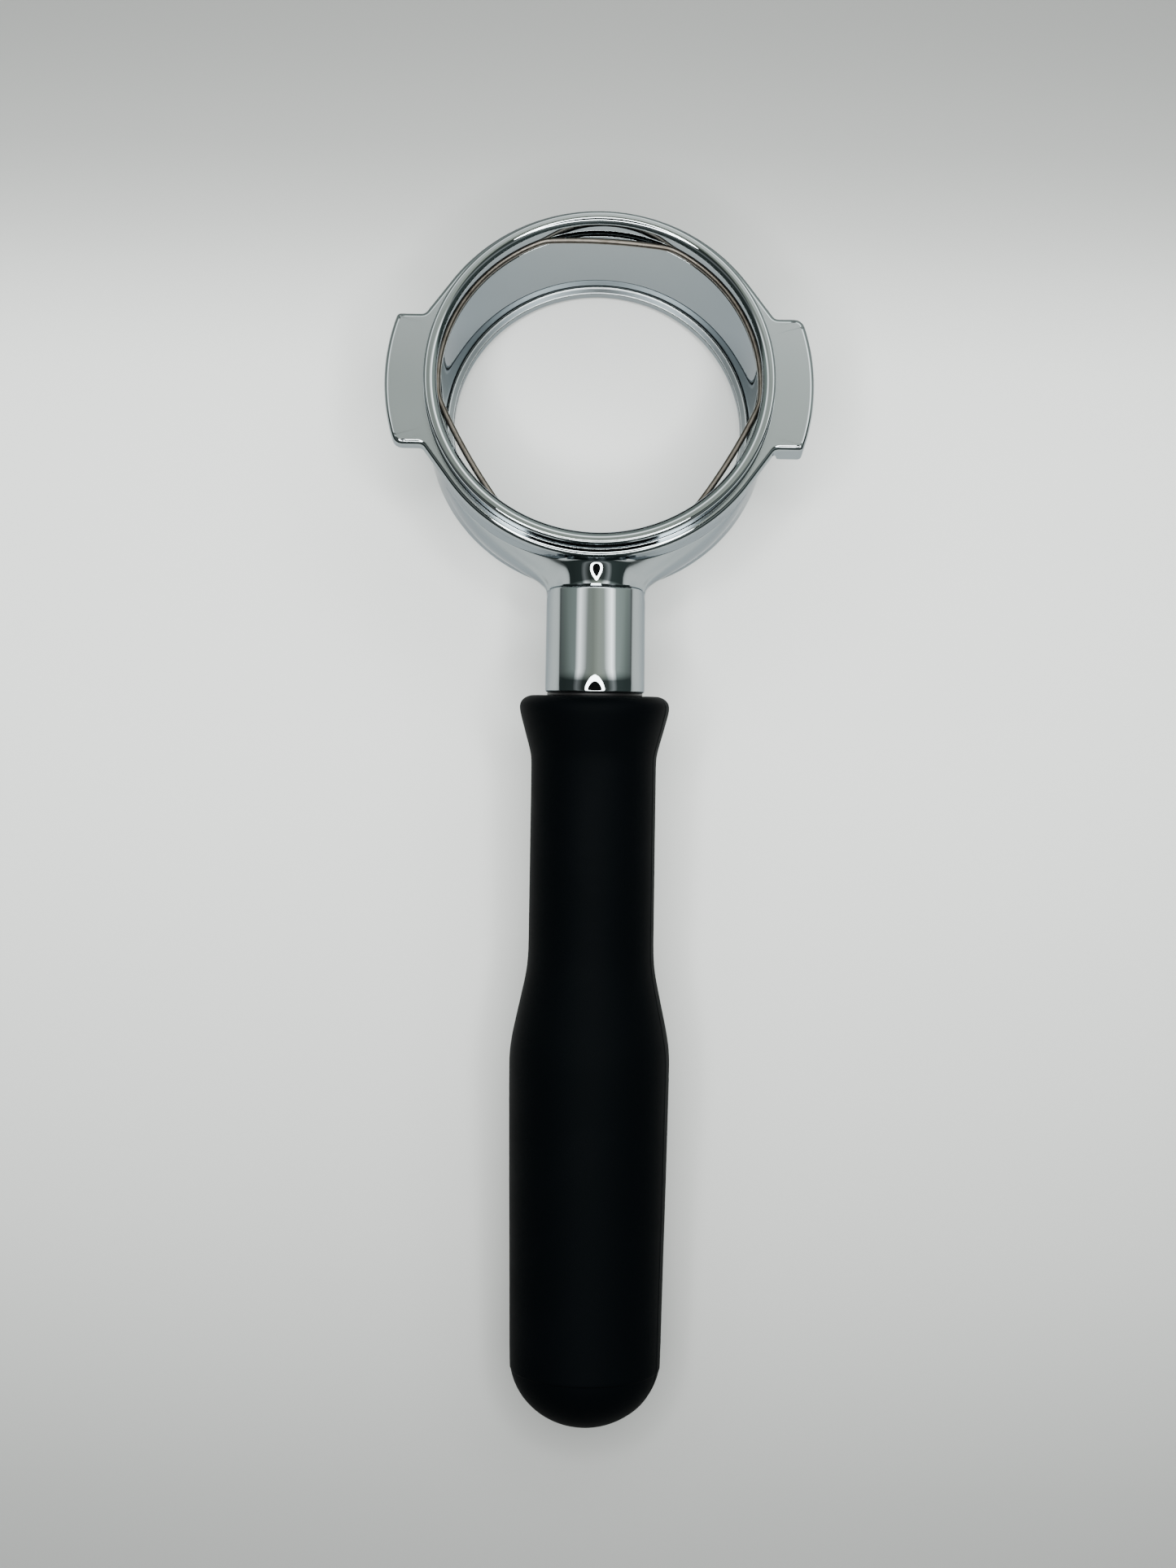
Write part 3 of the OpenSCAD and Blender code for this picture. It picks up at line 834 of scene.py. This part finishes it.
outline = [(r, d, 0) for d, r in gripProfile]
outline[-1] = (outline[-1][0], outline[-1][1] + 1e-4, 0)
gripBase = bpy.data.objects.new("gripSkin", bpy.data.meshes.new("gripOutline"))
gripBase.data.from_pydata([[c * mm for c in p] for p in outline],
                          [(i, i + 1) for i in range(len(outline) - 1)], [])
bpy.context.scene.collection.objects.link(gripBase)
grip = closeMesh(bakeGroup("gripSkin", gripGroup(), gripSizes, finishes["grip_skin"][1], gripBase))
dress(grip, "grip_skin", "handle")
print("handle built")


# Stud with its thread
studStart = neck["stub"] - neck["holeDepth"] + 1
studSizes = {"Thread pitch": 1.75 * mm, "Major radius": 6.0 * mm, "Thread depth": 0.95 * mm,
             "Start": studStart * mm,
             "Length": 41.5 * mm}


# A helical ridge swept round the stud's core.
def studGroup():
    group, start, stop = geometryGroup("StudThread", studSizes)
    inner = mathIn(group, "SUBTRACT", start.outputs["Major radius"],
                   mathIn(group, "MULTIPLY", start.outputs["Thread depth"], 0.66))
    run = mathIn(group, "SUBTRACT", start.outputs["Length"],
                 mathIn(group, "MULTIPLY", start.outputs["Thread pitch"], 1.4))
    turns = mathIn(group, "DIVIDE", run, start.outputs["Thread pitch"])
    helix = nodeIn(group, "GeometryNodeCurveSpiral",
                   {"Resolution": 48, "Rotations": turns, "Start Radius": inner,
                                                      "End Radius": inner, "Height": run})
    ridge = nodeIn(group, "GeometryNodeCurvePrimitiveCircle", {"Resolution": 6, "Radius": mathIn(
        group, "MULTIPLY", start.outputs["Thread depth"], 0.64)})
    swept = nodeIn(group, "GeometryNodeCurveToMesh",
                   {"Curve": helix.outputs[0], "Profile Curve": ridge.outputs[0], "Fill Caps": True})
    depth = mathIn(group, "MULTIPLY_ADD", start.outputs["Thread pitch"], 0.7, start.outputs["Start"])
    place = nodeIn(group, "ShaderNodeCombineXYZ", {1: mathIn(group, "MULTIPLY", depth, -1.0)})
    laid = nodeIn(group, "GeometryNodeTransform",
                  {"Geometry": swept.outputs[0], "Translation": place.outputs[0],
                                                   "Rotation": (math.pi / 2, 0, 0)})
    tilted = nodeIn(group, "GeometryNodeTransform",
                    {"Geometry": laid.outputs[0], "Translation": bendPlace, "Rotation": bendTurn})
    whole = nodeIn(group, "GeometryNodeJoinGeometry")
    group.links.new(tilted.outputs[0], whole.inputs[0])
    group.links.new(start.outputs["Geometry"], whole.inputs[0])
    real = nodeIn(group, "GeometryNodeRealizeInstances", {0: whole.outputs[0]})
    coat = nodeIn(group, "GeometryNodeSetMaterial",
                  {"Geometry": real.outputs[0], "Material": start.outputs["Material"]})
    group.links.new(coat.outputs[0], stop.inputs[0])
    return group


studCore = latheMesh("handleStud", [(studStart + d, r) for d, r in filletPath(
    [(0, 0.05, 0), (0, 4.2, 0.2), (1, 5.2, 0.2), (40.5, 5.2, 0.2), (41.5, 4.2, 0.2), (41.5, 0.05, 0)])],
                     around=96)
stud = closeMesh(bakeGroup("handleStud", studGroup(), studSizes, finishes["handle_stud"][1], studCore))
dress(stud, "handle_stud", "handle")
print("stud built")


def stageMesh(name, points, faces, material):
    obj = meshObject(name, points, faces, smooth=False)
    obj.data.materials.append(material)
    return obj


def glowMaterial(name, color, strength):
    material = bpy.data.materials.new(name)
    material.use_nodes = True
    tree = material.node_tree
    tree.nodes.clear()
    glow = nodeIn(tree, "ShaderNodeEmission", {"Color": (*color, 1), "Strength": strength})
    stop = tree.nodes.new("ShaderNodeOutputMaterial")
    tree.links.new(glow.outputs[0], stop.inputs[0])
    return material


# The part stands on the far edge of the barrel and on the underside of the grip
restEdge = barrel["wall"] - 0.8
slope = max(-v.co.z / (restEdge * mm - v.co.y) for v in grip.data.vertices)
print("floor slope", round(math.degrees(math.atan(slope)), 2))
floorMaterial, floorTree, floorShader = plainMaterial("paleFloor", (0.78, 0.79, 0.78), 0.0, 0.6)
floorTone = noiseIn(floorTree, 1.4, 2.0, 0.5, objectPoint(floorTree))
floorAcross = nodeIn(floorTree, "ShaderNodeSeparateXYZ", {0: objectPoint(floorTree)}).outputs[1]
# Painted light: a colour ramp along y makes the floor brightest under the part and darker towards its near
# and far edges, a painted falloff of the lamp's light; the noise only adds a faint random mottle
paintedFloorLight = floorTree.nodes.new("ShaderNodeValToRGB")
paintedFloorLight.color_ramp.interpolation = "B_SPLINE"
floorNear, floorFar = -250, 110
paintedFloorFalloff = [(-250, 0.2), (-210, 0.29), (-185, 0.38), (-158, 0.5), (-127, 0.61), (-95, 0.72), (-60, 0.82),
              (-15, 0.87), (14, 0.88), (30, 0.7), (45, 0.48), (61, 0.36), (85, 0.27), (110, 0.24)]
paintedFloorLight.color_ramp.elements[0].position = 0.0
paintedFloorLight.color_ramp.elements[1].position = 1.0
for k, (place, tone) in enumerate(paintedFloorFalloff):
    if 0 < k < len(paintedFloorFalloff) - 1:
        stop = paintedFloorLight.color_ramp.elements.new((place - floorNear) / (floorFar - floorNear))
    else:
        stop = paintedFloorLight.color_ramp.elements[0 if k == 0 else -1]
    stop.color = (tone * 0.99, tone, tone * 0.985, 1)
floorTree.links.new(rangeIn(floorTree, floorAcross, floorNear * mm, floorFar * mm), paintedFloorLight.inputs[0])
floorMottle = mathIn(floorTree, "MULTIPLY_ADD", floorTone, 0.06, 0.97)
floorColor = nodeIn(floorTree, "ShaderNodeVectorMath", {0: paintedFloorLight.outputs[0], 3: floorMottle},
                    operation="SCALE")
floorTree.links.new(floorColor.outputs[0], floorShader.inputs["Base Color"])
floorGap = 0.02  # leaves the part clear of the floor
floorCorners = ((-1500, -1500), (1500, -1500), (1500, 1500), (-1500, 1500))
floorPoints = [(x, y, (y - restEdge) * slope - floorGap) for x, y in floorCorners]
stageMesh("floor", floorPoints, [(0, 1, 2, 3)], floorMaterial)

cameraPlace = Vector((-5.65, -167.24, 454.13))
cameraTurn = tuple(math.radians(a) for a in (11.688, -0.736, 0.694))
cameraData = bpy.data.cameras.new("camera")
cameraData.lens = 54.08
cameraData.sensor_width = 36
cameraData.clip_start = 0.01
camera = bpy.data.objects.new("camera", cameraData)
camera.location = cameraPlace * mm
camera.rotation_euler = cameraTurn
bpy.context.scene.collection.objects.link(camera)
bpy.context.scene.camera = camera
bpy.context.view_layer.update()

# A ring lamp round the camera, with the dark back of the camera in its middle; the camera itself sees neither
ringLamp = {"inner": 132.0, "outer": 195.0, "above": 12.0, "strength": 25.0}
around = 96
lampPoints = []
for radius in (ringLamp["inner"], ringLamp["outer"]):
    for k in range(around):
        a = 2 * math.pi * k / around
        lampPoints.append((radius * math.cos(a), radius * math.sin(a), 0))
ringGlow = glowMaterial("ringGlow", (0.985, 1, 0.985), ringLamp["strength"])
lamp = stageMesh("ringLamp", lampPoints, gridFaces(2, around), ringGlow)
lamp.matrix_world = camera.matrix_world @ Matrix.Translation((0, 0, ringLamp["above"] * mm))
darkMaterial = plainMaterial("cameraBack", (0.004, 0.004, 0.005), 0.0, 0.6)[0]
disc = lampPoints[:around]
shade = stageMesh("cameraBack", disc, [tuple(range(around))], darkMaterial)
shade.matrix_world = lamp.matrix_world.copy()
for obj in (lamp, shade):
    obj.visible_camera = False

world = bpy.data.worlds.new("room")
bpy.context.scene.world = world
world.use_nodes = True
sky = world.node_tree
background = sky.nodes["Background"]
direction = nodeIn(sky, "ShaderNodeTexCoord").outputs["Generated"]
# Only the side beyond the head is light, brightest in a band high up; overhead and round the handle is dark
level = nodeIn(sky, "ShaderNodeVectorRotate", {"Vector": direction, "Angle": -math.atan(slope)},
               rotation_type="X_AXIS")
axes = nodeIn(sky, "ShaderNodeSeparateXYZ", {0: level.outputs[0]})
ramp = sky.nodes.new("ShaderNodeValToRGB")
ramp.color_ramp.elements[0].position = 0.0
ramp.color_ramp.elements[0].color = (0.5, 0.52, 0.51, 1)
ramp.color_ramp.elements[1].position = 1.0
ramp.color_ramp.elements[1].color = (0.25, 0.27, 0.215, 1)
skyBands = {0.48: (0.2, 0.22, 0.21, 1), 0.6: (0.19, 0.22, 0.2, 1), 0.8: (0.26, 0.3, 0.28, 1),
            0.86: (1.8, 1.84, 1.82, 1), 0.93: (0.29, 0.315, 0.285, 1)}
for position, color in skyBands.items():
    ramp.color_ramp.elements.new(position).color = color
sky.links.new(mathIn(sky, "MULTIPLY_ADD", axes.outputs[2], 0.5, 0.5), ramp.inputs[0])
shadow = rangeIn(sky, axes.outputs[1], 0.33, 0.2, 0.0, 0.9)
seen = mixIn(sky, shadow, (0.5, 0.5, 0.5), (0.006, 0.012, 0.012))
sky.links.new(ramp.outputs[0], seen.node.inputs[6])
sky.links.new(seen, background.inputs["Color"])
sky.links.new(rangeIn(sky, axes.outputs[0], -0.1, 0.12, 2.3, 3.5), background.inputs["Strength"])
